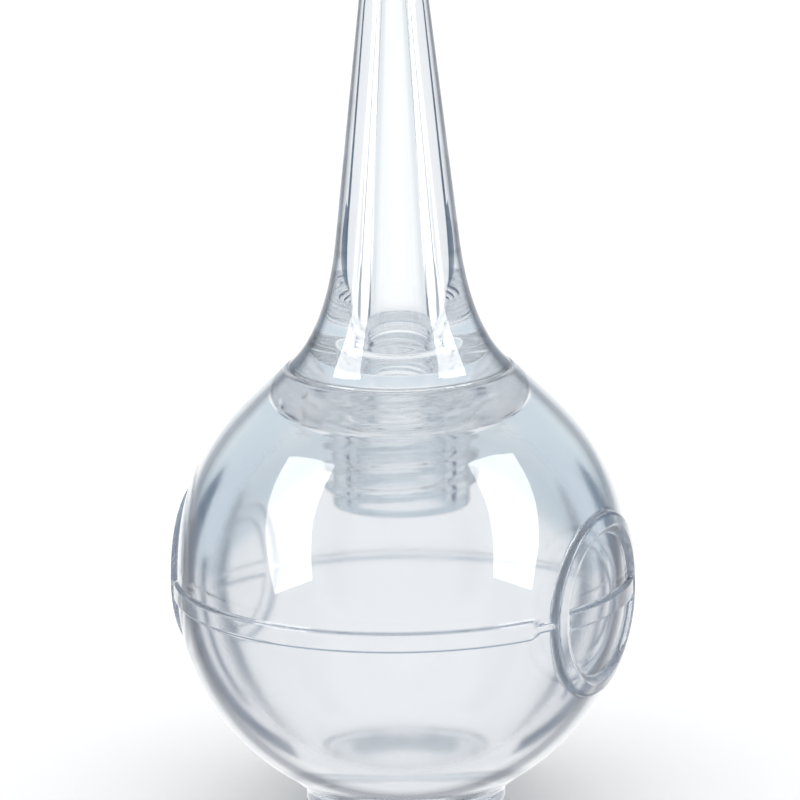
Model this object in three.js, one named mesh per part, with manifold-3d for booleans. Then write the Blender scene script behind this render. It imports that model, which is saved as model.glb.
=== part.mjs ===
// Nasal aspirator: a clear moulded squeeze bulb with a screw-in nozzle.
// Millimetres, +Z up along the nozzle. The origin is the centre of the flat foot,
// and the two grip pads face along -X and +X.
import * as THREE from 'three';
import { mergeVertices } from 'three/addons/utils/BufferGeometryUtils.js';
import Module from 'manifold-3d';

const wasm = await Module();
wasm.setup();

// ---- driving dimensions ----
const bulbRadius = 27.9;         // outside of the ball
const footDrop = 0.4;            // how far the ball's round would reach below the foot
const wall = 4.5;                // thickness of the squeeze wall
const neckRise = 3.2;            // how far the neck's top edge stands above the ball's round
const seamRadius = 13.9;         // outside, where the nozzle's skirt meets the neck
const shoulderFullness = 15.0;   // how far the shoulder rises straight before it turns in
const shoulderLead = 12.0;       // how far the neck's slope carries on into the shoulder

const footRadius = 12.3;
const footEdgeRadius = 0.5;
const footRimWidth = 2.6;
const footRecessDepth = 0.8;

const beltHeight = 2.3;          // joining band between the two half shells
const beltProud = 0.45;
const ridgeHeight = 1.0;         // thin parting ridge that runs all the way round
const labelHalfAngle = 61;       // blank raised strip on the front, either side of -Y

const padRadius = 11.3;
const padRimWidth = 2.2;
const padRimProud = 0.7;
const padDishDepth = 0.35;

const neckEdgeWidth = 1.7;       // flat edge of the neck outside its bore
const neckRingWall = 2.5;
const threadPitch = 2.7;
const threadHeight = 1.0;
const threadRootWidth = 1.45;
const threadCrestWidth = 0.75;

const plugLength = 16.8;         // how far the nozzle reaches below the seam
const plugChamfer = 0.4;
const plugBoreRadius = 5.4;
const plugBoreRise = 1.7;        // height of the bore's ledge above the seam
const totalHeight = 103.5;
const flareHeight = 16.1;        // from the seam to where the flare turns into a straight cone
const flareReach = 5.2;          // how far the seam's slope carries on up the flare
const coneReach = 6.5;           // how far the cone's slope carries on down the flare
const nozzleNeckRadius = 7.6;
const tipRadius = 4.25;
const tipRounding = 2.6;         // height over which the tip's outside rounds over
const tipShoulder = 0.3;         // how far the rounding starts inside the tip's side
const tipLip = 0.7;              // flat lip round the bore's mouth
const boreMouthDepth = 0.5;      // chamfer from the lip down into the bore
const boreTopRadius = 1.4;
const boreBaseRadius = 4.3;

const sealThickness = 0.6;
const sealWidth = 2.4;

const fitGap = 0.3;              // round pieces inside each other
const seatGap = 0.1;             // flat faces that rest on each other
const threadGap = 0.35;          // radial play between the two threads
const fuse = 0.2;                // how deep a joined-on feature sinks into its body

const stepsAround = 60;
const nozzleStepsAround = 40;
const threadStepsPerTurn = 30;

// ---- worked-out values ----
const bulbCentreHeight = bulbRadius - footDrop;
const seamHeight = bulbCentreHeight + Math.sqrt(bulbRadius ** 2 - seamRadius ** 2) + neckRise;
const nozzleNeckHeight = seamHeight + flareHeight;
const cavityRadius = bulbRadius - wall;
const neckTopRadius = seamRadius + fitGap;
const neckBoreRadius = neckTopRadius - neckEdgeWidth;
const padHoleRadius = padRadius + fitGap;
const shellTopHeight = seamHeight - sealThickness / 2 - seatGap;
const skirtHeight = seamHeight + sealThickness / 2 + seatGap;
const beltHalf = beltHeight / 2;
const shellEdge = beltHalf + fitGap;
const neckRingOuter = neckBoreRadius - fitGap;
const threadRootRadius = neckRingOuter - neckRingWall;
const plugCrestRadius = threadRootRadius - threadGap;
const plugRootRadius = plugCrestRadius - threadHeight;
const neckBoreBottom = bulbCentreHeight + Math.sqrt(cavityRadius ** 2 - neckBoreRadius ** 2);
const plugBottom = seamHeight - plugLength;

// ---- materials ----
function clearPlastic(colour, roughness) {
  return new THREE.MeshStandardMaterial({
    color: colour, roughness, metalness: 0, transparent: true, opacity: 0.45,
  });
}

const softClear = clearPlastic(0xd9e6ee, 0.12);
const firmClear = clearPlastic(0xe2ebf1, 0.08);
const ringClear = clearPlastic(0xd2dfe8, 0.15);
const sealClear = clearPlastic(0xe6ecef, 0.35);

// ---- mesh helpers ----
function signedVolume(position, index) {
  const a = new THREE.Vector3();
  const b = new THREE.Vector3();
  const c = new THREE.Vector3();
  let volume = 0;
  for (let i = 0; i < index.length; i += 3) {
    a.fromBufferAttribute(position, index[i]);
    b.fromBufferAttribute(position, index[i + 1]);
    c.fromBufferAttribute(position, index[i + 2]);
    volume += a.dot(b.cross(c)) / 6;
  }
  return volume;
}

// Merges shared vertices, drops the triangles that close up on the axis, and turns faces outward.
function closedGeometry(geometry) {
  geometry.deleteAttribute('normal');
  geometry.deleteAttribute('uv');
  const merged = mergeVertices(geometry, 1e-4);
  const source = merged.index.array;
  const index = [];
  for (let i = 0; i < source.length; i += 3) {
    const [a, b, c] = [source[i], source[i + 1], source[i + 2]];
    if (a !== b && b !== c && c !== a) index.push(a, b, c);
  }
  if (signedVolume(merged.attributes.position, index) < 0) index.reverse();
  merged.setIndex(index);
  return merged;
}

function solid(geometry) {
  const closed = closedGeometry(geometry);
  return new wasm.Manifold(new wasm.Mesh({
    numProp: 3,
    vertProperties: new Float32Array(closed.attributes.position.array),
    triVerts: new Uint32Array(closed.index.array),
  }));
}

function geometryOf(manifold) {
  const mesh = manifold.getMesh();
  const geometry = new THREE.BufferGeometry();
  geometry.setAttribute('position', new THREE.BufferAttribute(new Float32Array(mesh.vertProperties), 3));
  geometry.setIndex(new THREE.BufferAttribute(new Uint32Array(mesh.triVerts), 1));
  return geometry;
}

function piece(name, manifold, material) {
  const mesh = new THREE.Mesh(geometryOf(manifold), material);
  mesh.name = name;
  return mesh;
}

// ---- outline helpers: points are (radius, height) ----
const point = (radius, height) => new THREE.Vector2(radius, height);

function arc(centreRadius, centreHeight, radius, fromDegrees, toDegrees, steps) {
  const points = [];
  for (let i = 0; i <= steps; i += 1) {
    const angle = THREE.MathUtils.degToRad(fromDegrees + (toDegrees - fromDegrees) * i / steps);
    points.push(point(centreRadius + radius * Math.cos(angle), centreHeight + radius * Math.sin(angle)));
  }
  return points;
}

function bezier(p0, p1, p2, p3, steps) {
  return new THREE.CubicBezierCurve(p0, p1, p2, p3).getPoints(steps);
}

function turned(points, steps) {
  return solid(new THREE.LatheGeometry([...points, points[0].clone()], steps).rotateX(Math.PI / 2));
}

const degreesAt = (height, radius) => THREE.MathUtils.radToDeg(Math.asin(height / radius));

// Slope of the outside where the nozzle meets the neck, pointing up and in.
const seamSlope = point(-0.74, 0.67);

function alongSeam(distance) {
  return point(seamRadius + seamSlope.x * distance, seamHeight + seamSlope.y * distance);
}

// ---- threads: a trapezoid swept along a right-handed helix ----
function threadRidge(rootRadius, crestRadius, startHeight, turns) {
  const steps = Math.round(turns * threadStepsPerTurn);
  const vertices = [];
  const index = [];
  for (let i = 0; i <= steps; i += 1) {
    const angle = 2 * Math.PI * i / threadStepsPerTurn;
    const height = startHeight + threadPitch * i / threadStepsPerTurn;
    // The ridge grows out of the wall over its first and last quarter turn.
    const runIn = Math.min(1, Math.min(i, steps - i) / (threadStepsPerTurn / 4));
    const crest = rootRadius + (crestRadius - rootRadius) * (0.25 + 0.75 * runIn);
    const section = [
      [rootRadius, -threadRootWidth / 2],
      [crest, -threadCrestWidth / 2],
      [crest, threadCrestWidth / 2],
      [rootRadius, threadRootWidth / 2],
    ];
    for (const [radius, offset] of section) {
      vertices.push(radius * Math.cos(angle), radius * Math.sin(angle), height + offset);
    }
  }
  for (let i = 0; i < steps; i += 1) {
    for (let side = 0; side < 4; side += 1) {
      const a = 4 * i + side;
      const b = 4 * i + (side + 1) % 4;
      index.push(a, b, b + 4, a, b + 4, a + 4);
    }
  }
  const last = 4 * steps;
  index.push(0, 3, 2, 0, 2, 1, last, last + 1, last + 2, last, last + 2, last + 3);
  const geometry = new THREE.BufferGeometry();
  geometry.setAttribute('position', new THREE.Float32BufferAttribute(vertices, 3));
  geometry.setIndex(index);
  return solid(geometry);
}

// ---- round cutter for the two grip pads, along X through the ball's centre ----
function padHoles() {
  const length = 3 * bulbRadius;
  return solid(new THREE.CylinderGeometry(padHoleRadius, padHoleRadius, length, 36)
    .rotateZ(Math.PI / 2)
    .translate(0, 0, bulbCentreHeight));
}

// A wedge about -Y, used to keep only the front part of a ring.
function frontWedge(halfAngleDegrees) {
  const reach = 3 * bulbRadius;
  const shape = new THREE.Shape();
  shape.moveTo(0, 0);
  for (const step of [-1, -0.5, 0, 0.5, 1]) {
    const angle = THREE.MathUtils.degToRad(step * halfAngleDegrees);
    shape.lineTo(reach * Math.sin(angle), -reach * Math.cos(angle));
  }
  shape.closePath();
  const wedge = new THREE.ExtrudeGeometry(shape, { depth: 2 * bulbRadius, bevelEnabled: false });
  return solid(wedge);
}

// ---- bulb, lower half with the foot ----
function makeLowerShell() {
  const outerStart = -90 + degreesAt(footRadius, bulbRadius);
  const outer = arc(0, bulbCentreHeight, bulbRadius, outerStart, -degreesAt(shellEdge, bulbRadius), 8);
  const inner = arc(0, bulbCentreHeight, cavityRadius, -degreesAt(shellEdge, cavityRadius), -90, 7);
  const footRecessRadius = footRadius - footRimWidth;
  const profile = [
    point(0, footRecessDepth),
    point(footRecessRadius - footRecessDepth, footRecessDepth),
    point(footRecessRadius, 0),
    point(footRadius - footEdgeRadius, 0),
    point(footRadius, footEdgeRadius),
    ...outer,
    ...inner,
  ];
  return turned(profile, stepsAround).subtract(padHoles());
}

// ---- bulb, upper half with the shoulder and neck ----
function makeUpperShell() {
  const edgeHeight = bulbCentreHeight + shellEdge;
  const neckTop = point(neckTopRadius, shellTopHeight);
  const outer = bezier(
    point(bulbRadius, edgeHeight),
    point(bulbRadius, edgeHeight + shoulderFullness - shellEdge),
    alongSeam(-shoulderLead),
    neckTop,
    11,
  );
  const cavityTop = degreesAt(neckBoreBottom - bulbCentreHeight, cavityRadius);
  const inner = arc(0, bulbCentreHeight, cavityRadius, cavityTop, degreesAt(shellEdge, cavityRadius), 6);
  const profile = [...outer, point(neckBoreRadius, shellTopHeight), ...inner];
  return turned(profile, stepsAround).subtract(padHoles());
}

// ---- joining band: web between the shells, thin ridge all round, blank strip in front ----
function makeBelt() {
  const ring = (innerRadius, outerRadius, low, high) => turned([
    point(innerRadius, bulbCentreHeight + low),
    point(outerRadius, bulbCentreHeight + low),
    point(outerRadius, bulbCentreHeight + high),
    point(innerRadius, bulbCentreHeight + high),
  ], stepsAround);
  const web = ring(cavityRadius, bulbRadius, -beltHalf, beltHalf).subtract(padHoles());
  const ridge = ring(bulbRadius - fuse, bulbRadius + beltProud, -ridgeHeight / 2, ridgeHeight / 2);
  const strip = ring(bulbRadius - fuse, bulbRadius + beltProud, -beltHalf, beltHalf)
    .intersect(frontWedge(labelHalfAngle));
  return web.add(ridge).add(strip);
}

// ---- grip pad: a dished disc with a raised rim that fills its hole in the wall ----
function makePad(side) {
  const onSphere = (radius, offset, from) => point(from, Math.sqrt(radius ** 2 - from ** 2) + offset);
  const rimInner = padRadius - padRimWidth;
  const outer = [0, 0.35, 0.7, 0.96].map((share) => onSphere(bulbRadius, -padDishDepth, share * rimInner));
  const rim = [0.2, 0.5, 0.8].map((share) => {
    const lift = padRimProud * Math.sin(Math.PI * share);
    return onSphere(bulbRadius, lift, rimInner + share * padRimWidth);
  });
  const edge = onSphere(bulbRadius, -padRimProud / 3, padRadius);
  const inner = [1, 0.7, 0.35, 0].map((share) => onSphere(cavityRadius, 0, share * padRadius));
  const disc = solid(new THREE.LatheGeometry([...outer, ...rim, edge, ...inner], 32)
    .rotateZ(-side * Math.PI / 2)
    .translate(0, 0, bulbCentreHeight));
  // The rim is notched where the joining band passes over the pad.
  const notch = turned([
    point(bulbRadius - fuse - fitGap, bulbCentreHeight - shellEdge),
    point(bulbRadius + 2 * padRimProud, bulbCentreHeight - shellEdge),
    point(bulbRadius + 2 * padRimProud, bulbCentreHeight + shellEdge),
    point(bulbRadius - fuse - fitGap, bulbCentreHeight + shellEdge),
  ], stepsAround);
  return disc.subtract(notch);
}

// ---- threaded ring bonded into the neck ----
function makeNeckRing() {
  const top = shellTopHeight;
  const bottom = neckBoreBottom;
  const body = turned([
    point(threadRootRadius, bottom),
    point(neckRingOuter, bottom),
    point(neckRingOuter, top),
    point(threadRootRadius, top),
  ], nozzleStepsAround);
  const height = top - bottom - threadRootWidth;
  const turns = Math.floor(height / threadPitch * threadStepsPerTurn) / threadStepsPerTurn;
  const start = bottom + threadRootWidth / 2;
  const ridge = threadRidge(threadRootRadius + fuse, threadRootRadius - threadHeight, start, turns);
  return body.add(ridge);
}

// ---- soft ring squeezed between the nozzle's skirt and the neck ----
function makeSealRing() {
  const middle = (threadRootRadius + seamRadius) / 2;
  const half = sealThickness / 2;
  const side = sealWidth / 2 - half;
  const profile = [
    ...arc(middle + side, seamHeight, half, -90, 90, 4),
    ...arc(middle - side, seamHeight, half, 90, 270, 4),
  ];
  return turned(profile, nozzleStepsAround);
}

// ---- nozzle: tapered tip, flared skirt and threaded plug in one moulding ----
function makeNozzle() {
  const skirtEdge = point(seamRadius - fitGap, skirtHeight);
  const coneTop = point(tipRadius, totalHeight - tipRounding);
  const coneSlope = (nozzleNeckRadius - tipRadius) / (coneTop.y - nozzleNeckHeight);
  const flare = bezier(
    skirtEdge,
    alongSeam(flareReach),
    point(nozzleNeckRadius + coneSlope * coneReach, nozzleNeckHeight - coneReach),
    point(nozzleNeckRadius, nozzleNeckHeight),
    8,
  );
  const roundedTip = bezier(
    coneTop,
    point(tipRadius - tipShoulder, totalHeight - boreMouthDepth),
    point(boreTopRadius + 2 * tipLip, totalHeight),
    point(boreTopRadius + tipLip, totalHeight),
    5,
  );
  const ledgeHeight = seamHeight + plugBoreRise;
  const profile = [
    point(plugRootRadius, skirtHeight),
    ...flare,
    ...roundedTip,
    point(boreTopRadius, totalHeight - boreMouthDepth),
    point(boreBaseRadius, ledgeHeight),
    point(plugBoreRadius, ledgeHeight),
    point(plugBoreRadius, plugBottom),
    point(plugRootRadius - plugChamfer, plugBottom),
    point(plugRootRadius, plugBottom + plugChamfer),
  ];
  const body = turned(profile, nozzleStepsAround);
  // The plug's thread is half a pitch away from the ring's, so the two ridges interleave.
  const ringStart = neckBoreBottom + threadRootWidth / 2;
  const lowest = plugBottom + plugChamfer + threadRootWidth / 2;
  const ridgeTop = skirtHeight - threadRootWidth;
  const pitchesBelow = Math.floor((ringStart - threadPitch / 2 - lowest) / threadPitch);
  const start = ringStart - threadPitch / 2 - pitchesBelow * threadPitch;
  const turns = Math.floor((ridgeTop - start) / threadPitch * threadStepsPerTurn) / threadStepsPerTurn;
  return body.add(threadRidge(plugRootRadius - fuse, plugCrestRadius, start, turns));
}

// ---- assembly ----
const aspirator = new THREE.Group();

const bulb = new THREE.Group();
bulb.add(piece('bulb_lower_shell', makeLowerShell(), softClear));
bulb.add(piece('bulb_upper_shell', makeUpperShell(), softClear));
bulb.add(piece('joining_belt', makeBelt(), ringClear));
bulb.add(piece('neck_thread_ring', makeNeckRing(), ringClear));
bulb.add(piece('grip_pad_left', makePad(-1), ringClear));
bulb.add(piece('grip_pad_right', makePad(1), ringClear));
aspirator.add(bulb);

const screwIn = new THREE.Group();
screwIn.add(piece('seal_ring', makeSealRing(), sealClear));
screwIn.add(piece('nozzle', makeNozzle(), firmClear));
aspirator.add(screwIn);

export default aspirator;
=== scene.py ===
"""Clear nasal aspirator: squeeze bulb, grip pads, joining belt, threaded neck, seal ring and nozzle."""
import math

import bmesh
import bpy
import numpy as np
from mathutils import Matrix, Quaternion, Vector


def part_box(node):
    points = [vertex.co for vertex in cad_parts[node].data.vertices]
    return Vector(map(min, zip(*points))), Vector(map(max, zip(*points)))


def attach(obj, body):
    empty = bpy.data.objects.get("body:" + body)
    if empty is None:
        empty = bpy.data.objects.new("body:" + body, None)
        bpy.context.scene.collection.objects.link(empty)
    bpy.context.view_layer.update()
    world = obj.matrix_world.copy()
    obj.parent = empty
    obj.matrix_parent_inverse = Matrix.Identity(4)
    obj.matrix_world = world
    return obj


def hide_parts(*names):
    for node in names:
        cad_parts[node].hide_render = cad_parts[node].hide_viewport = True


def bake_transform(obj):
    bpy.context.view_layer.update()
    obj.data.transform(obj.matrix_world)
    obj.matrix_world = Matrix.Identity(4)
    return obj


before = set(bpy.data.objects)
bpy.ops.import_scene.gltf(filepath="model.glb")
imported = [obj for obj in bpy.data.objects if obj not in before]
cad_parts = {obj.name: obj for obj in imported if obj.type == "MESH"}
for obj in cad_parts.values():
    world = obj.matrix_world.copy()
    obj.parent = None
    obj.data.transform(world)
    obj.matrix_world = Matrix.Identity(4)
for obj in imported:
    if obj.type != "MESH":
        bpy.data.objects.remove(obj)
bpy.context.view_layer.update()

MM = 0.001

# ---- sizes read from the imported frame, in metres ----
belt_low, belt_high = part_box("joining_belt")
nozzle_low, nozzle_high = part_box("nozzle")
CENTRE_Z = (belt_low.z + belt_high.z) / 2
PLUG_BOTTOM = nozzle_low.z
TOP = nozzle_high.z

# ---- sizes of the moulded shapes ----
BALL = 27.9 * MM
WALL = 4.5 * MM
CAVITY = BALL - WALL
SEAM_Z = 54.9 * MM
SEAM_R = 13.9 * MM
SHOULDER_FULLNESS = 15.2 * MM    # how far the shoulder rises straight before it turns in
SHOULDER_LEAD = 12 * MM          # how far the neck's slope carries on into the shoulder
NECK_TOP_R = SEAM_R + 0.3 * MM
NECK_EDGE_WIDTH = 1.7 * MM
NECK_BORE_R = NECK_TOP_R - NECK_EDGE_WIDTH
NECK_LIP_WIDTH = 0.6 * MM
SEAL_THICK = 0.6 * MM
SEAL_WIDTH = 2.4 * MM
FOOT_R = 12.3 * MM
FOOT_RIM = 2.6 * MM
FOOT_RECESS = 0.8 * MM
BELT_HALF = 1.15 * MM
BELT_PROUD = 0.42 * MM
RIDGE_HALF = 0.45 * MM
STRIP_HALF_ANGLE = math.radians(61)
STRIP_CORNER = 0.7 * MM
RELIEF_EDGE = 0.3 * MM           # how wide the slope up to a raised feature is
PAD_R = 11.3 * MM
PAD_RIM = 2.1 * MM
PAD_PROUD = 0.8 * MM
PAD_DISH = 0.35 * MM
PAD_RING_RADII = (3.4 * MM, 6.6 * MM)
PAD_RING_HALF = 0.5 * MM
PAD_RING_PROUD = 0.34 * MM
PITCH = 2.7 * MM
THREAD_DEPTH = 1.0 * MM
THREAD_ROOT_WIDTH = 1.45 * MM
THREAD_GAP = 0.35 * MM
RING_FIT = 0.3 * MM
RING_WALL = 2.5 * MM
RING_OUTER = NECK_BORE_R - 0.05 * MM
RING_ROOT = NECK_BORE_R - RING_FIT - RING_WALL
PLUG_CREST = RING_ROOT - THREAD_GAP
PLUG_ROOT = PLUG_CREST - THREAD_DEPTH
PLUG_BORE = 5.4 * MM
LEDGE_Z = SEAM_Z + 1.7 * MM
BORE_BASE = 4.3 * MM
BORE_TOP = 1.4 * MM
FLARE_Z = SEAM_Z + 16.1 * MM
FLARE_R = 7.6 * MM
FLARE_REACH = 5.2 * MM           # how far the seam's slope carries on up the flare
CONE_REACH = 6.5 * MM            # how far the cone's slope carries on down the flare
SKIRT_LIP_WIDTH = 0.7 * MM
TIP_R = 4.25 * MM
TIP_ROUND = 2.6 * MM
SEAM_SLOPE = np.array((-0.74, 0.67))
CLOSE_GAP = 0.04 * MM            # between pieces that touch
LIP_GAP = 0.09 * MM              # the lips outside the seal, either side of the seam
NECK_BORE_BOTTOM = CENTRE_Z + math.sqrt(CAVITY ** 2 - NECK_BORE_R ** 2)
THREAD_PHASE = 0.5 - (NECK_BORE_BOTTOM + THREAD_ROOT_WIDTH / 2) / PITCH
WELD = 0.002 * MM                # points of a mesh closer than this are joined


# ---- outlines: arrays of (radius, height) ----
def line(*points):
    return np.array(points, float)


def bezier(p0, p1, p2, p3, steps):
    t = np.linspace(0, 1, steps + 1)[:, None]
    p0, p1, p2, p3 = (np.array(p, float) for p in (p0, p1, p2, p3))
    return (1 - t) ** 3 * p0 + 3 * (1 - t) ** 2 * t * p1 + 3 * (1 - t) * t ** 2 * p2 + t ** 3 * p3


def arc(centre_r, centre_z, radius, start, end, steps):
    a = np.radians(np.linspace(start, end, steps + 1))
    return np.stack((centre_r + radius * np.cos(a), centre_z + radius * np.sin(a)), 1)


def even(points, spacing, closed=False):
    """The same outline with points an even distance apart."""
    path = np.vstack((points, points[:1])) if closed else points
    length = np.concatenate(([0], np.cumsum(np.hypot(*np.diff(path, axis=0).T))))
    count = max(8, int(round(length[-1] / spacing)))
    at = np.linspace(0, length[-1], count + 1)
    path = np.stack([np.interp(at, length, path[:, k]) for k in (0, 1)], 1)
    return path[:-1] if closed else path


def soften(points, radius, closed=False, spacing=0.05 * MM):
    """Rounds every corner of an outline, as a moulding's corners are. An open outline ends on the axis."""
    path = even(points, spacing, closed)
    half = int(3 * radius / spacing)
    kernel = np.exp(-0.5 * (np.arange(-half, half + 1) * spacing / radius) ** 2)
    kernel /= kernel.sum()
    if closed:
        wide = np.vstack((path[-half:], path, path[:half]))
    else:
        flip = np.array((-1, 1))
        wide = np.vstack((path[1:half + 1][::-1] * flip, path, path[-half - 1:-1][::-1] * flip))
    smooth = np.stack([np.convolve(wide[:, k], kernel, "valid") for k in (0, 1)], 1)
    if not closed:
        smooth[0, 0] = smooth[-1, 0] = 0
    return smooth


def thin_out(points, spacing_at, closed=False):
    """Keeps points of a dense outline so that their spacing follows spacing_at(point)."""
    kept = [0]
    run = 0
    for i in range(1, len(points)):
        run += math.dist(points[i], points[i - 1])
        if run >= spacing_at(points[i]):
            kept.append(i)
            run = 0
    if not closed and kept[-1] != len(points) - 1:
        kept.append(len(points) - 1)
    return points[kept]


def outline_normals(points):
    """Unit normals to the right of the outline's direction."""
    step = np.gradient(points, axis=0)
    normal = np.stack((step[:, 1], -step[:, 0]), 1)
    return normal / np.linalg.norm(normal, axis=1)[:, None]


def smooth_step(t):
    t = np.clip(t, 0, 1)
    return t * t * (3 - 2 * t)


# ---- meshes ----
def grid_mesh(name, points, wrap_columns, wrap_rows, material):
    """A mesh from a (rows, columns, 3) grid. Rows that shrink to a point on the axis become triangles."""
    rows, columns, _ = points.shape
    flat = points.reshape(-1, 3)
    row_count = rows if wrap_rows else rows - 1
    column_count = columns if wrap_columns else columns - 1
    i, j = np.meshgrid(np.arange(row_count), np.arange(column_count), indexing="ij")
    i2, j2 = (i + 1) % rows, (j + 1) % columns
    quads = np.stack((i * columns + j, i * columns + j2, i2 * columns + j2, i2 * columns + j), -1)
    mesh = bpy.data.meshes.new(name)
    mesh.from_pydata(flat.tolist(), [], quads.reshape(-1, 4).tolist())
    obj = bpy.data.objects.new(name, mesh)
    bpy.context.scene.collection.objects.link(obj)
    bm = bmesh.new()
    bm.from_mesh(mesh)
    bmesh.ops.remove_doubles(bm, verts=bm.verts, dist=WELD)
    bmesh.ops.recalc_face_normals(bm, faces=bm.faces)
    bm.to_mesh(mesh)
    bm.free()
    mesh.polygons.foreach_set("use_smooth", [True] * len(mesh.polygons))
    mesh.materials.append(material)
    return obj


def revolve(outline, angles, moved=None):
    """Turns an outline about Z. moved(r, z, a) may shift the radius and height of each grid point."""
    r = np.repeat(outline[:, :1], len(angles), 1)
    z = np.repeat(outline[:, 1:], len(angles), 1)
    a = np.repeat(angles[None, :], len(outline), 0)
    if moved is not None:
        r, z = moved(r, z, a)
    return np.stack((r * np.cos(a), r * np.sin(a), z), -1)


# ---- materials ----
class Nodes:
    """Short forms for building a node tree."""

    def __init__(self, tree):
        self.tree = tree

    def add(self, kind, **values):
        node = self.tree.nodes.new(kind)
        for name, value in values.items():
            setattr(node, name, value)
        return node

    def put(self, socket, value):
        if isinstance(value, bpy.types.NodeSocket):
            self.tree.links.new(value, socket)
        else:
            socket.default_value = value

    def maths(self, operation, *values):
        node = self.add("ShaderNodeMath", operation=operation)
        for socket, value in zip(node.inputs, values):
            self.put(socket, value)
        return node.outputs[0]

    def dot(self, a, b):
        node = self.add("ShaderNodeVectorMath", operation="DOT_PRODUCT")
        self.put(node.inputs[0], a)
        self.put(node.inputs[1], b)
        return node.outputs["Value"]

    def span(self, value, low, high):
        """0 at low, 1 at high, smooth between."""
        node = self.add("ShaderNodeMapRange", interpolation_type="SMOOTHSTEP")
        self.put(node.inputs["Value"], value)
        self.put(node.inputs["From Min"], low)
        self.put(node.inputs["From Max"], high)
        return node.outputs[0]

    def ramp(self, value, stops):
        node = self.add("ShaderNodeValToRGB")
        elements = node.color_ramp.elements
        while len(elements) < len(stops):
            elements.new(0.5)
        for element, (position, colour) in zip(elements, stops):
            element.position = position
            element.color = (*colour, 1)
        self.put(node.inputs["Fac"], value)
        return node.outputs["Color"]

    def blend(self, factor, a, b):
        node = self.add("ShaderNodeMix", data_type="RGBA")
        self.put(node.inputs["Factor"], factor)
        self.put(node.inputs["A"], a)
        self.put(node.inputs["B"], b)
        return node.outputs["Result"]


def clear_plastic(name, tint, ior, limb_shade, gloss=0.015, haze=0.05, rim=(0.60, 0.68, 0.74, 0.82)):
    """Clear moulded plastic with painted shade: a dark line along its silhouette and darker relief edges.

    limb is how strong the painted shade line along the silhouette is, and rim is where it begins, peaks
    and fades as the surface turns away. The vertex values edge, outside, pale and matte say which parts of
    the mesh get what; where pale is set the tint is painted lighter.
    """
    material = bpy.data.materials.new(name)
    material.use_nodes = True
    n = Nodes(material.node_tree)
    shader = n.tree.nodes["Principled BSDF"]
    shader.inputs["IOR"].default_value = ior
    shader.inputs["Transmission Weight"].default_value = 1
    place = n.add("ShaderNodeTexCoord").outputs["Object"]

    def noise(scale, detail, stretch=(1, 1, 1)):
        mapping = n.add("ShaderNodeMapping")
        n.put(mapping.inputs["Vector"], place)
        mapping.inputs["Scale"].default_value = stretch
        texture = n.add("ShaderNodeTexNoise")
        n.put(texture.inputs["Vector"], mapping.outputs[0])
        texture.inputs["Scale"].default_value = scale
        texture.inputs["Detail"].default_value = detail
        return texture.outputs["Fac"]

    # edge carries painted shade: how much darker blue-grey each relief slope is made.
    edge_shade = n.add("ShaderNodeAttribute", attribute_name="edge_shade").outputs["Fac"]
    outside = n.add("ShaderNodeAttribute", attribute_name="outside").outputs["Fac"]
    facing = n.add("ShaderNodeLayerWeight")
    facing.inputs["Blend"].default_value = 0.5
    # Painted shade: a near-black line along the silhouette, by how far the surface faces away from the
    # view.
    silhouette = n.ramp(facing.outputs["Facing"], (
        (rim[0], (0, 0, 0)), (rim[1], (1, 1, 1)), (rim[2], (1, 1, 1)), (rim[3], (0.15, 0.15, 0.15)),
    ))
    silhouette = n.maths("MULTIPLY", n.maths("MULTIPLY", silhouette, outside), limb_shade)
    # pale carries painted light: a near-white tint that lifts the shade the collar's many surfaces give.
    pale = n.add("ShaderNodeAttribute", attribute_name="pale").outputs["Fac"]
    cloud = n.span(noise(60, 3), 0.3, 0.75)
    cloudy_tint = (tint[0] * 0.965, tint[1] * 0.975, tint[2] * 0.985, 1)
    body = n.blend(n.maths("MULTIPLY", cloud, 0.35), (*tint, 1), cloudy_tint)
    # Painted light: paler tint where pale is set.
    body = n.blend(pale, body, (0.99, 0.993, 0.996, 1))
    # Painted shade: darker blue-grey at the raised relief edges.
    body = n.blend(edge_shade, body, (0.30, 0.35, 0.43, 1))
    # Painted shade: blend to near-black along the silhouette, on the outer surface only.
    body = n.blend(silhouette, body, (0.05, 0.06, 0.09, 1))
    n.put(shader.inputs["Base Color"], body)
    worn = n.span(noise(230, 4), 0.45, 0.8)
    matte = n.add("ShaderNodeAttribute", attribute_name="matte").outputs["Fac"]
    shine = n.maths("MULTIPLY_ADD", worn, haze, gloss)
    n.put(shader.inputs["Roughness"], n.maths("MULTIPLY_ADD", matte, 0.1, shine))
    flow = noise(75, 2, (1, 1, 0.35))
    grain = noise(900, 2)
    bump = n.add("ShaderNodeBump")
    bump.inputs["Strength"].default_value = 0.12
    bump.inputs["Distance"].default_value = 0.25 * MM
    n.put(bump.inputs["Height"], n.maths("MULTIPLY_ADD", grain, 0.03, flow))
    n.put(shader.inputs["Normal"], bump.outputs[0])
    return material


# The bulb and nozzle get a painted shade line along their silhouette; the ring and seal get none.
bulb_plastic = clear_plastic("bulb_plastic", (0.868, 0.881, 0.895), ior=1.5, limb_shade=0.9)
nozzle_plastic = clear_plastic(
    "nozzle_plastic", (0.955, 0.966, 0.974), ior=1.5, limb_shade=1.0, haze=0.03, rim=(0.51, 0.64, 0.86, 0.95),
)
ring_plastic = clear_plastic("ring_plastic", (0.982, 0.987, 0.99), ior=1.5, limb_shade=0.0, gloss=0.06)
seal_rubber = clear_plastic("seal_rubber", (0.982, 0.987, 0.99), ior=1.43, limb_shade=0.0, gloss=0.2)


def paint(obj, name, values):
    """Stores one number per vertex for the plastic to read."""
    layer = obj.data.attributes.new(name, "FLOAT", "POINT")
    layer.data.foreach_set("value", np.clip(values, 0, 1).astype(np.float32))


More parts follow.
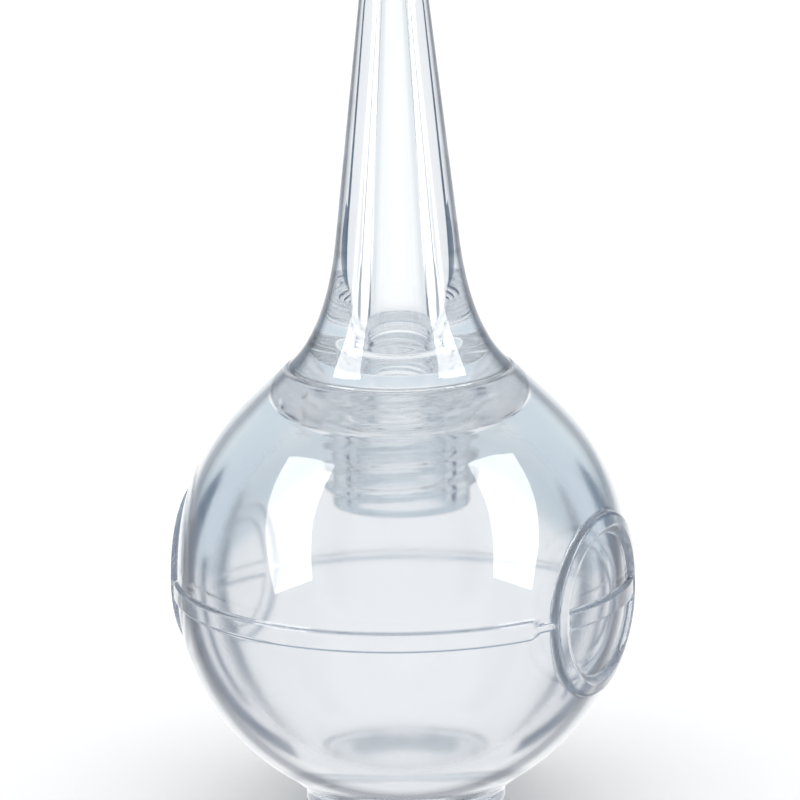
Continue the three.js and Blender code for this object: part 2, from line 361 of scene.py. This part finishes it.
def vertices(obj):
    co = np.empty(3 * len(obj.data.vertices))
    obj.data.vertices.foreach_get("co", co)
    return co.reshape(-1, 3).T


# ---- bulb wall ----
def along_seam(distance):
    return np.array((SEAM_R, SEAM_Z)) + SEAM_SLOPE * distance


def bulb_outline():
    shell_top = SEAM_Z - SEAL_THICK / 2 - CLOSE_GAP
    foot_angle = -90 + math.degrees(math.asin((FOOT_R + 2.4 * MM) / BALL))
    recess_r = FOOT_R - FOOT_RIM
    dish = np.linspace(0, 1, 13)
    foot = np.stack((recess_r * dish, FOOT_RECESS * (1 - smooth_step(dish * 1.5 - 0.5))), 1)
    foot_side = line(
        (FOOT_R, 0),
        (FOOT_R, 1.5 * MM),
        (FOOT_R + 0.5 * MM, 2.2 * MM),
        (FOOT_R + 1.6 * MM, 3.1 * MM),
    )
    ball = arc(0, CENTRE_Z, BALL, foot_angle, 0, 90)
    shoulder = bezier(
        (BALL, CENTRE_Z),
        (BALL, CENTRE_Z + SHOULDER_FULLNESS),
        along_seam(-SHOULDER_LEAD),
        (NECK_TOP_R, SEAM_Z - LIP_GAP),
        90,
    )
    cavity_top = math.degrees(math.acos(NECK_BORE_R / CAVITY))
    cavity = arc(0, CENTRE_Z, CAVITY, cavity_top, -90, 120)
    lip = SEAM_Z - LIP_GAP
    lip_r = NECK_TOP_R - NECK_LIP_WIDTH
    groove = line((lip_r, lip), (lip_r, shell_top), (NECK_BORE_R, shell_top))
    return np.vstack((foot, foot_side, ball, shoulder[1:], groove, cavity))


def relief(x, y, z):
    """Height of the belt, blank strip and grip pad above the smooth ball, at points on it."""
    dz = np.abs(z - CENTRE_Z)

    def raised(inside):
        return smooth_step(0.5 + inside / RELIEF_EDGE)

    ridge = BELT_PROUD * raised(RIDGE_HALF - dz)
    # Blank strip on the front: a band with rounded ends.
    along = np.abs(np.arctan2(x, -y)) * BALL - STRIP_HALF_ANGLE * BALL
    past_end = along + STRIP_CORNER
    past_side = dz - BELT_HALF + STRIP_CORNER
    outside = np.hypot(np.maximum(past_end, 0), np.maximum(past_side, 0)) - STRIP_CORNER
    outside = outside + np.minimum(np.maximum(past_end, past_side), 0)
    strip = BELT_PROUD * raised(-outside)
    # Pads: raised rim, shallow dish, two grip rings and the bar where the belt crosses.
    rho = np.hypot(y, z - CENTRE_Z)
    rim_mid = PAD_R - PAD_RIM / 2
    rim = PAD_PROUD * raised((PAD_RIM / 2 - np.abs(rho - rim_mid)) * 0.6)
    inside_pad = smooth_step((rim_mid - rho) / (PAD_RIM / 2))
    dish = -PAD_DISH * inside_pad
    upper = smooth_step((z - CENTRE_Z - 1.6 * MM) / (0.8 * MM))
    rings = upper * sum(PAD_RING_PROUD * raised(PAD_RING_HALF - np.abs(rho - r)) for r in PAD_RING_RADII)
    bar = (PAD_PROUD + PAD_DISH * 0.6) * raised(BELT_HALF - dz) * inside_pad
    pad = np.maximum(rim, np.maximum(dish + rings, dish + bar))
    ridge_on_rim = np.where(rho > PAD_R - PAD_RIM, np.maximum(ridge, 0), -1)
    return np.where(rho < PAD_R + RELIEF_EDGE, np.maximum(pad, ridge_on_rim), np.maximum(ridge, strip))


def bulb_angles(side):
    """Angles about Z for one half of the bulb, closer together over its grip pad."""
    pad_half = math.degrees(math.asin((PAD_R + MM) / BALL))
    fine = np.linspace(-pad_half, pad_half, 111)
    coarse = 42
    left = np.linspace(-90, -pad_half, coarse + 1)[:-1]
    right = np.linspace(pad_half, 90, coarse + 1)[1:]
    angles = np.radians(np.concatenate((left, fine, right)))
    return angles if side > 0 else angles + math.pi


def make_bulb_half(name, side):
    dense = soften(bulb_outline(), 0.22 * MM)
    reach = PAD_R + MM

    def spacing(p):
        on_outside = math.hypot(p[0], p[1] - CENTRE_Z) > BALL - 0.5 * MM
        if on_outside and abs(p[1] - CENTRE_Z) < reach:
            return 0.1 * MM if abs(p[1] - CENTRE_Z) < 2 * MM else 0.22 * MM
        curve_zone = p[1] < 4 * MM or p[1] > 44 * MM
        return 0.25 * MM if curve_zone else 0.6 * MM

    outline = thin_out(dense, spacing)
    normals = outline_normals(outline)
    on_ball = np.hypot(outline[:, 0], outline[:, 1] - CENTRE_Z) > BALL - 0.6 * MM
    has_relief = (on_ball & (np.abs(outline[:, 1] - CENTRE_Z) < reach))[:, None]

    def displaced(r, z, a):
        h = np.where(has_relief, relief(r * np.cos(a), r * np.sin(a), z), 0)
        return r + normals[:, :1] * h, z + normals[:, 1:] * h

    points = revolve(outline, bulb_angles(side), displaced)
    half = grid_mesh(name, points, False, False, bulb_plastic)
    x, y, z = vertices(half)
    reach_out = np.sqrt(x * x + y * y + (z - CENTRE_Z) ** 2)
    radius = np.hypot(x, y)
    outer = (reach_out > CAVITY + 2 * MM) & (radius > NECK_BORE_R + 0.6 * MM) & (z > 0.05 * MM)
    # outside marks the outer surface, where the painted silhouette shade goes.
    paint(half, "outside", outer)
    inner = (reach_out < CAVITY + MM) & (z > FOOT_RECESS + MM)
    neck_bore = (z > NECK_BORE_BOTTOM + 0.2 * MM) & (radius < NECK_BORE_R + 0.1 * MM)
    groove = (z > SEAM_Z - 0.6 * MM) & (radius < NECK_TOP_R - 0.3 * MM)
    underside = (z < FOOT_RECESS + 0.2 * MM) & (radius < FOOT_R - 0.5 * MM)
    paint(half, "matte", inner | neck_bore | groove | underside)
    # Painted light: the neck bore and groove get a paler tint, to lift the collar's shade.
    paint(half, "pale", neck_bore | groove)
    # Painted shade at the relief edges: darker the steeper the belt, strip and pad slopes, twice as strong
    # on the pads.
    near_belt = outer & (np.abs(z - CENTRE_Z) < reach)
    step = 0.1 * MM
    turn = step / BALL
    climb = relief(x, y, z + step) - relief(x, y, z - step)
    swing = relief(x - y * turn, y + x * turn, z) - relief(x + y * turn, y - x * turn, z)
    slope = np.hypot(climb, swing) / (2 * step)
    on_pad = np.hypot(y, z - CENTRE_Z) < PAD_R + 0.4 * MM
    paint(half, "edge_shade", np.where(near_belt, slope * np.where(on_pad, 2.0, 0.95), 0))
    return half


# ---- threads ----
def tooth(phase):
    """Height of a trapezoid thread from 0 to 1, at a phase in pitches with the crest at 0."""
    off = np.abs((phase + 0.5) % 1 - 0.5)
    flat, foot = 0.14, 0.27
    return 1 - smooth_step((off - flat) / (foot - flat))


def make_nozzle():
    skirt = SEAM_Z + SEAL_THICK / 2 + CLOSE_GAP
    cone_top = (TIP_R, TOP - TIP_ROUND)
    slope = (FLARE_R - TIP_R) / (cone_top[1] - FLARE_Z)
    flare = bezier(
        (SEAM_R - 0.1 * MM, SEAM_Z + LIP_GAP),
        along_seam(FLARE_REACH),
        (FLARE_R + slope * CONE_REACH, FLARE_Z - CONE_REACH),
        (FLARE_R, FLARE_Z),
        40,
    )
    tip = bezier(
        cone_top,
        (TIP_R - 0.3 * MM, TOP - 0.5 * MM),
        (BORE_TOP + 1.6 * MM, TOP),
        (BORE_TOP + 0.7 * MM, TOP),
        24,
    )
    skirt_lip_r = SEAM_R - SKIRT_LIP_WIDTH
    outline = np.vstack((
        line((PLUG_ROOT, skirt), (skirt_lip_r, skirt), (skirt_lip_r, SEAM_Z + LIP_GAP)),
        flare,
        tip,
        line(
            (BORE_TOP, TOP - 0.5 * MM),
            (BORE_BASE, LEDGE_Z),
            (PLUG_BORE, LEDGE_Z),
            (PLUG_BORE, PLUG_BOTTOM),
            (PLUG_ROOT - 0.4 * MM, PLUG_BOTTOM),
            (PLUG_ROOT, PLUG_BOTTOM + 0.4 * MM),
        ),
    ))
    dense = soften(outline, 0.18 * MM, closed=True)
    threaded_top = skirt - THREAD_ROOT_WIDTH
    threaded_low = PLUG_BOTTOM + 1.3 * MM

    def spacing(p):
        if p[0] > PLUG_ROOT - 0.3 * MM and p[1] < skirt:
            return 0.12 * MM
        return 0.35 * MM if p[1] < FLARE_Z or p[1] > TOP - 4 * MM else 1.2 * MM

    outline = thin_out(dense, spacing, closed=True)

    def threaded(r, z, a):
        on_plug = (np.abs(r - PLUG_ROOT) < 0.1 * MM) & (z < skirt)
        fade = smooth_step((z - threaded_low) / MM) * smooth_step((threaded_top - z) / MM)
        lift = THREAD_DEPTH * tooth(z / PITCH - a / (2 * math.pi) + THREAD_PHASE) * fade
        return r + np.where(on_plug, lift, 0), z

    angles = np.linspace(0, 2 * math.pi, 160, endpoint=False)
    nozzle = grid_mesh("clear_nozzle", revolve(outline, angles, threaded), True, True, nozzle_plastic)
    x, y, z = vertices(nozzle)
    radius = np.hypot(x, y)
    bore = BORE_BASE + (BORE_TOP - BORE_BASE) * (z - LEDGE_Z) / (TOP - LEDGE_Z)
    # outside marks the nozzle's outer surface, where the painted silhouette shade goes.
    paint(nozzle, "outside", (z > SEAM_Z) & (radius > bore + 1.2 * MM))
    plug_side = (radius > PLUG_BORE + 0.6 * MM) & (radius < SEAM_R - 0.3 * MM)
    paint(nozzle, "matte", (z < SEAM_Z + 0.45 * MM) & plug_side)
    return nozzle


def make_neck_ring():
    top = SEAM_Z - SEAL_THICK / 2 - CLOSE_GAP
    low = NECK_BORE_BOTTOM
    outline = line((RING_ROOT, low), (RING_OUTER, low), (RING_OUTER, top), (RING_ROOT, top))
    dense = soften(outline, 0.12 * MM, closed=True)

    def spacing(p):
        return 0.12 * MM if p[0] < RING_ROOT + 0.1 * MM else 0.4 * MM

    outline = thin_out(dense, spacing, closed=True)

    def threaded(r, z, a):
        fade = smooth_step((z - low - 0.3 * MM) / MM) * smooth_step((top - 0.3 * MM - z) / MM)
        lift = THREAD_DEPTH * tooth(z / PITCH - a / (2 * math.pi) + THREAD_PHASE + 0.5) * fade
        return r - np.where(np.abs(r - RING_ROOT) < 0.1 * MM, lift, 0), z

    angles = np.linspace(0, 2 * math.pi, 144, endpoint=False)
    return grid_mesh("threaded_neck_ring", revolve(outline, angles, threaded), True, True, ring_plastic)


def make_seal():
    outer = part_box("seal_ring")[1].x
    inner = outer - SEAL_WIDTH
    half = SEAL_THICK / 2
    outline = np.vstack((
        arc(outer - half, SEAM_Z, half, -90, 90, 10),
        arc(inner + half, SEAM_Z, half, 90, 270, 10),
    ))
    angles = np.linspace(0, 2 * math.pi, 128, endpoint=False)
    return grid_mesh("soft_seal_ring", revolve(outline, angles), True, True, seal_rubber)


left_half = make_bulb_half("bulb_wall_left", -1)
right_half = make_bulb_half("bulb_wall_right", 1)
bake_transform(left_half)
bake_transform(right_half)
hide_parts("bulb_lower_shell", "bulb_upper_shell", "joining_belt", "grip_pad_left")
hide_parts("bulb_lower_shell", "bulb_upper_shell", "joining_belt", "grip_pad_right")

neck_ring = make_neck_ring()
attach(neck_ring, "bulb")
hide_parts("neck_thread_ring")

seal = make_seal()
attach(seal, "seal")
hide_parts("seal_ring")

nozzle = make_nozzle()
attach(nozzle, "nozzle_body")
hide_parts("nozzle")


# ---- studio ----
CAMERA_AZIMUTH = math.radians(26)
CAMERA_ELEVATION = math.radians(14)
CAMERA_DISTANCE = 1.0
SOFTBOX_WIDTH = 0.44
SOFTBOX_HEIGHT = 1.06
BALL_CARD = ((-52, 40, 56), (0, 41, 57), (30, 41, 57), (43, 42, 54), (50, 45, 50))
NOZZLE_CARD = ((-200, 45, 50), (50, 45, 50))
TARGET = Vector((0, 0, 50.6 * MM))
ROLL = math.radians(-0.9)
VIEW_WIDTH = 98.16 * MM          # how much the camera sees across, at the aspirator

# Directions in the camera's own compass: right, up, toward the camera.
RIGHT = Vector((math.cos(CAMERA_AZIMUTH), math.sin(CAMERA_AZIMUTH), 0))
NEAR = Vector((math.sin(CAMERA_AZIMUTH), -math.cos(CAMERA_AZIMUTH), 0))
UP = Vector((0, 0, 1))
BALL_CENTRE = UP * CENTRE_Z


def direction(azimuth, elevation):
    return Vector((
        math.sin(azimuth) * math.cos(elevation),
        -math.cos(azimuth) * math.cos(elevation),
        math.sin(elevation),
    ))


def emission(name, colour, strength):
    material = bpy.data.materials.new(name)
    material.use_nodes = True
    tree = material.node_tree
    tree.nodes.clear()
    light = tree.nodes.new("ShaderNodeEmission")
    light.inputs["Color"].default_value = (*colour, 1)
    light.inputs["Strength"].default_value = strength
    out = tree.nodes.new("ShaderNodeOutputMaterial")
    tree.links.new(light.outputs[0], out.inputs["Surface"])
    return material


def stage_only(obj):
    """Studio gear that shows only in the clear plastic."""
    bpy.context.scene.collection.objects.link(obj)
    obj.visible_camera = False
    obj.visible_diffuse = False
    obj.visible_shadow = False


def softbox(side):
    """A tall white lamp above and beside the camera, seen only as a highlight on the plastic."""
    toward = (RIGHT * side * 0.80 + UP * 0.515 + NEAR * 0.305).normalized()
    lean = (RIGHT * side * -0.333 + UP * 0.847 + NEAR * -0.558).normalized()
    centre = BALL_CENTRE + toward * 0.9 - lean * 0.12
    across = toward.cross(lean).normalized() * SOFTBOX_WIDTH / 2
    upright = lean * SOFTBOX_HEIGHT / 2
    low_edge = [centre - across - upright, centre + across - upright]
    high_edge = [centre + across + upright, centre - across + upright]
    mesh = bpy.data.meshes.new("softbox")
    mesh.from_pydata([tuple(corner) for corner in low_edge + high_edge], [], [(0, 1, 2, 3)])
    mesh.materials.append(soft_white)
    sheet = bpy.data.objects.new("softbox", mesh)
    sheet.visible_transmission = False
    stage_only(sheet)


def slate_card(side, end, distance, levels):
    """A narrow upright dark card. It draws a dark streak inside the edge of the clear wall.

    Each level is a height in millimetres and the two azimuths, in degrees, that the card spans there.
    """
    grid = []
    for height, *azimuths in levels:
        for azimuth in map(math.radians, azimuths):
            out = RIGHT * side * math.sin(azimuth) + NEAR * end * math.cos(azimuth)
            grid.append(tuple(out * distance + UP * height * MM))
    faces = [(2 * i, 2 * i + 1, 2 * i + 3, 2 * i + 2) for i in range(len(levels) - 1)]
    mesh = bpy.data.meshes.new("slate_card")
    mesh.from_pydata(grid, [], faces)
    mesh.materials.append(slate)
    sheet = bpy.data.objects.new("slate_card", mesh)
    sheet.visible_glossy = False
    stage_only(sheet)


def make_floor():
    mesh = bpy.data.meshes.new("floor")
    r = 0.6
    mesh.from_pydata([(-r, -r, 0), (r, -r, 0), (r, r, 0), (-r, r, 0)], [], [(0, 1, 2, 3)])
    floor = bpy.data.objects.new("floor", mesh)
    bpy.context.scene.collection.objects.link(floor)
    material = bpy.data.materials.new("white_table")
    material.use_nodes = True
    shader = material.node_tree.nodes["Principled BSDF"]
    shader.inputs["Base Color"].default_value = (0.9, 0.9, 0.9, 1)
    shader.inputs["Roughness"].default_value = 0.8
    mesh.materials.append(material)
    floor.location = (0, 0, -0.02 * MM)
    floor.visible_transmission = False
    floor.visible_glossy = False


def make_world():
    """White table below the horizon, pale blue-grey room above it, darker bands out to the sides."""
    world = bpy.data.worlds.new("studio")
    bpy.context.scene.world = world
    world.use_nodes = True
    world.node_tree.nodes.clear()
    n = Nodes(world.node_tree)
    toward = n.add("ShaderNodeTexCoord").outputs["Generated"]
    ahead = n.dot(toward, (-math.sin(CAMERA_AZIMUTH), math.cos(CAMERA_AZIMUTH), 0))
    across = n.dot(toward, (math.cos(CAMERA_AZIMUTH), math.sin(CAMERA_AZIMUTH), 0))
    up = n.dot(toward, (0, 0, 1))
    turn = n.maths("ABSOLUTE", n.maths("ARCTAN2", across, ahead))
    turn = n.maths("DIVIDE", turn, math.pi)
    table = n.ramp(turn, (
        (0.0, (1.15, 1.15, 1.15)),
        (0.08, (1.13, 1.13, 1.13)),
        (0.14, (0.92, 0.94, 0.96)),
        (0.25, (0.86, 0.88, 0.91)),
        (0.6, (0.84, 0.87, 0.90)),
        (1.0, (0.95, 0.96, 0.97)),
    ))
    room = n.ramp(turn, (
        (0.0, (0.72, 0.81, 0.865)),
        (0.12, (0.70, 0.79, 0.85)),
        (0.25, (0.64, 0.73, 0.81)),
        (0.6, (0.74, 0.80, 0.86)),
        (1.0, (0.80, 0.84, 0.88)),
    ))
    ceiling = n.blend(n.span(up, 0.5, 0.75), room, (0.95, 0.97, 0.98, 1))
    seen = n.blend(n.span(up, -0.06, 0.0), table, ceiling)
    below = n.blend(n.span(up, -0.5, -0.9), seen, (0.90, 0.91, 0.93, 1))
    studio = n.add("ShaderNodeBackground")
    n.put(studio.inputs["Color"], below)
    plain = n.add("ShaderNodeBackground")
    plain.inputs["Color"].default_value = (1, 1, 1, 1)
    plain.inputs["Strength"].default_value = 1.22
    path = n.add("ShaderNodeLightPath")
    direct = n.maths("MAXIMUM", path.outputs["Is Camera Ray"], path.outputs["Is Diffuse Ray"])
    mix = n.add("ShaderNodeMixShader")
    n.put(mix.inputs["Fac"], direct)
    n.put(mix.inputs[1], studio.outputs[0])
    n.put(mix.inputs[2], plain.outputs[0])
    out = n.add("ShaderNodeOutputWorld")
    n.put(out.inputs["Surface"], mix.outputs[0])


make_floor()
make_world()

soft_white = emission("softbox", (1, 1, 1), 9)
slate = emission("slate_card", (0.02, 0.065, 0.14), 1)
for side in (-1, 1):
    softbox(side)
    for end in (-1, 1):
        slate_card(side, end, 60 * MM, BALL_CARD)
        slate_card(side, end, 300 * MM, NOZZLE_CARD)

camera = bpy.data.objects.new("camera", bpy.data.cameras.new("camera"))
bpy.context.scene.collection.objects.link(camera)
bpy.context.scene.camera = camera
back = direction(CAMERA_AZIMUTH, CAMERA_ELEVATION)
camera.location = TARGET + back * CAMERA_DISTANCE
camera.rotation_mode = "QUATERNION"
camera.rotation_quaternion = (-back).to_track_quat("-Z", "Y") @ Quaternion((0, 0, 1), ROLL)
camera.data.sensor_width = 36
camera.data.lens = 36 * CAMERA_DISTANCE / VIEW_WIDTH
camera.data.clip_start = 0.01
camera.data.clip_end = 20

bpy.context.scene.view_settings.view_transform = "Standard"
bpy.context.scene.cycles.max_bounces = 32
bpy.context.scene.cycles.transmission_bounces = 32
bpy.context.scene.cycles.glossy_bounces = 32
bpy.context.scene.cycles.caustics_refractive = True
